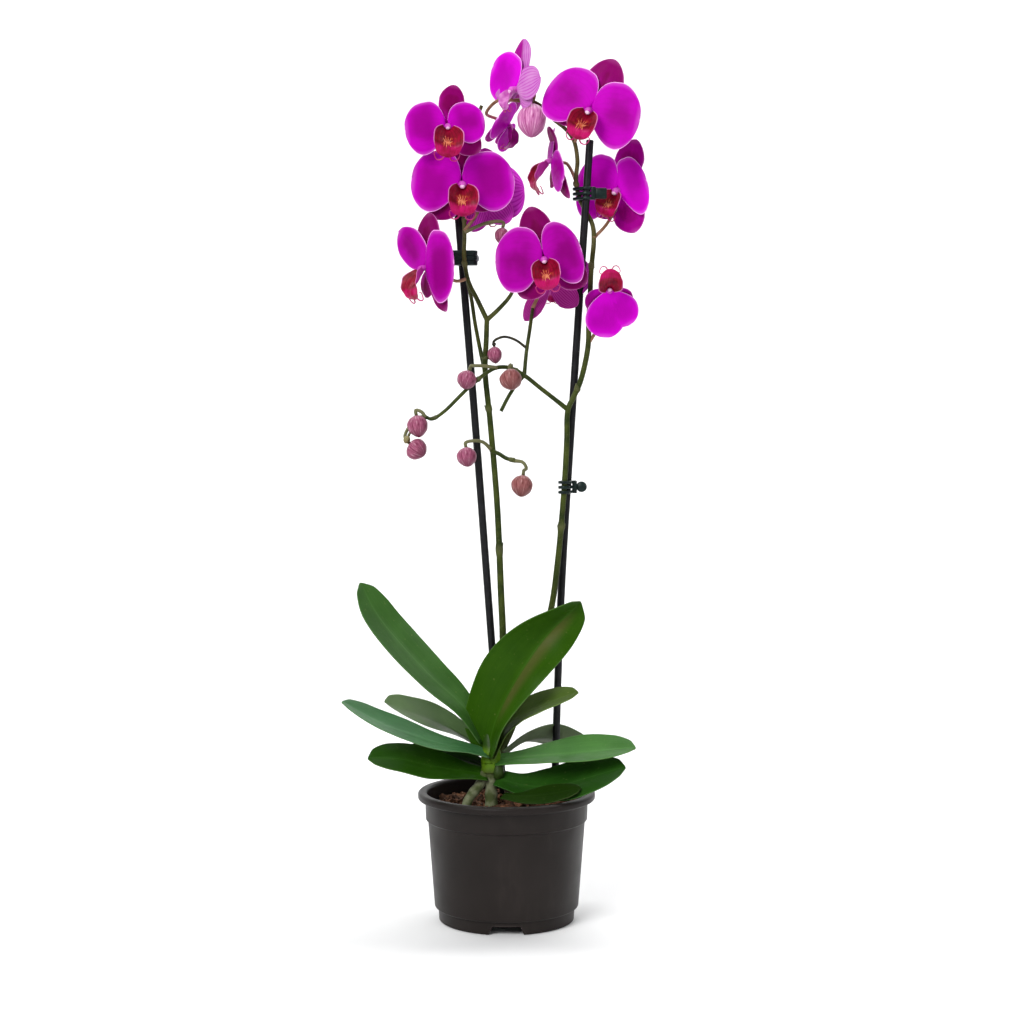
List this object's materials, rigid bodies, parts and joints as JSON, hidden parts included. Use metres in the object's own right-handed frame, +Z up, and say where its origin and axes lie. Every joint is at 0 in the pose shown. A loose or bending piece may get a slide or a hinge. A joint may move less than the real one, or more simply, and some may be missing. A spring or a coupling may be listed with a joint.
{
  "type": "potted moth orchid",
  "caption": "Potted moth orchid: magenta blooms and buds on flower spikes held to support sticks by claw clips, over strap leaves in a plain round growing pot.",
  "frame": {"origin": "bottom centre of the whole plant's box, on the surface the pot stands on; the pot's axis is 5.7 mm towards +X from it", "axes": "+Z up, +X to the viewer's right, +Y away from the viewer; the pot's foot ring rests on z = 0"},
  "size_m": [0.2078, 0.12, 0.5979],
  "materials": {
    "pot": "satin",
    "bark": "rough",
    "stick": "satin",
    "crown": "satin",
    "root": "matte",
    "stem": "satin",
    "leaf": "satin",
    "clip": "satin",
    "petal": "satin",
    "lip": "satin",
    "bud": "satin"
  },
  "bodies": {
    "root": {"pot": "pot", "growing_medium": "bark", "stake_left": "stick", "stake_right": "stick", "crown": "crown", "root_main": "root", "root_left": "root", "root_right": "root", "spike_left": "stem", "spike_right": "stem", "leaf_01": "leaf", "leaf_02": "leaf", "leaf_03": "leaf", "leaf_04": "leaf", "leaf_05": "leaf", "leaf_06": "leaf", "leaf_07": "leaf", "leaf_08": "leaf", "leaf_09": "leaf", "leaf_10": "leaf", "leaf_11": "leaf", "clip_left": "clip", "clip_right_top": "clip", "clip_right_low": "clip", "bloom_01": "petal", "bloom_02": "petal", "bloom_03": "petal", "bloom_04": "petal", "bloom_05": "petal", "bloom_06": "petal", "bloom_07": "petal", "bloom_08": "petal", "bloom_09": "petal", "bloom_10": "petal", "bloom_11": "petal", "bloom_12": "petal", "lip_01": "lip", "lip_02": "lip", "lip_03": "lip", "lip_04": "lip", "lip_05": "lip", "lip_06": "lip", "lip_07": "lip", "lip_08": "lip", "lip_09": "lip", "lip_10": "lip", "lip_11": "lip", "lip_12": "lip", "bud_01": "bud", "bud_02": "bud", "bud_03": "bud", "bud_04": "bud", "bud_05": "bud", "bud_06": "bud", "bud_07": "bud", "bud_08": "bud", "bud_09": "bud", "bud_10": "bud"}
  },
  "joints": []
}
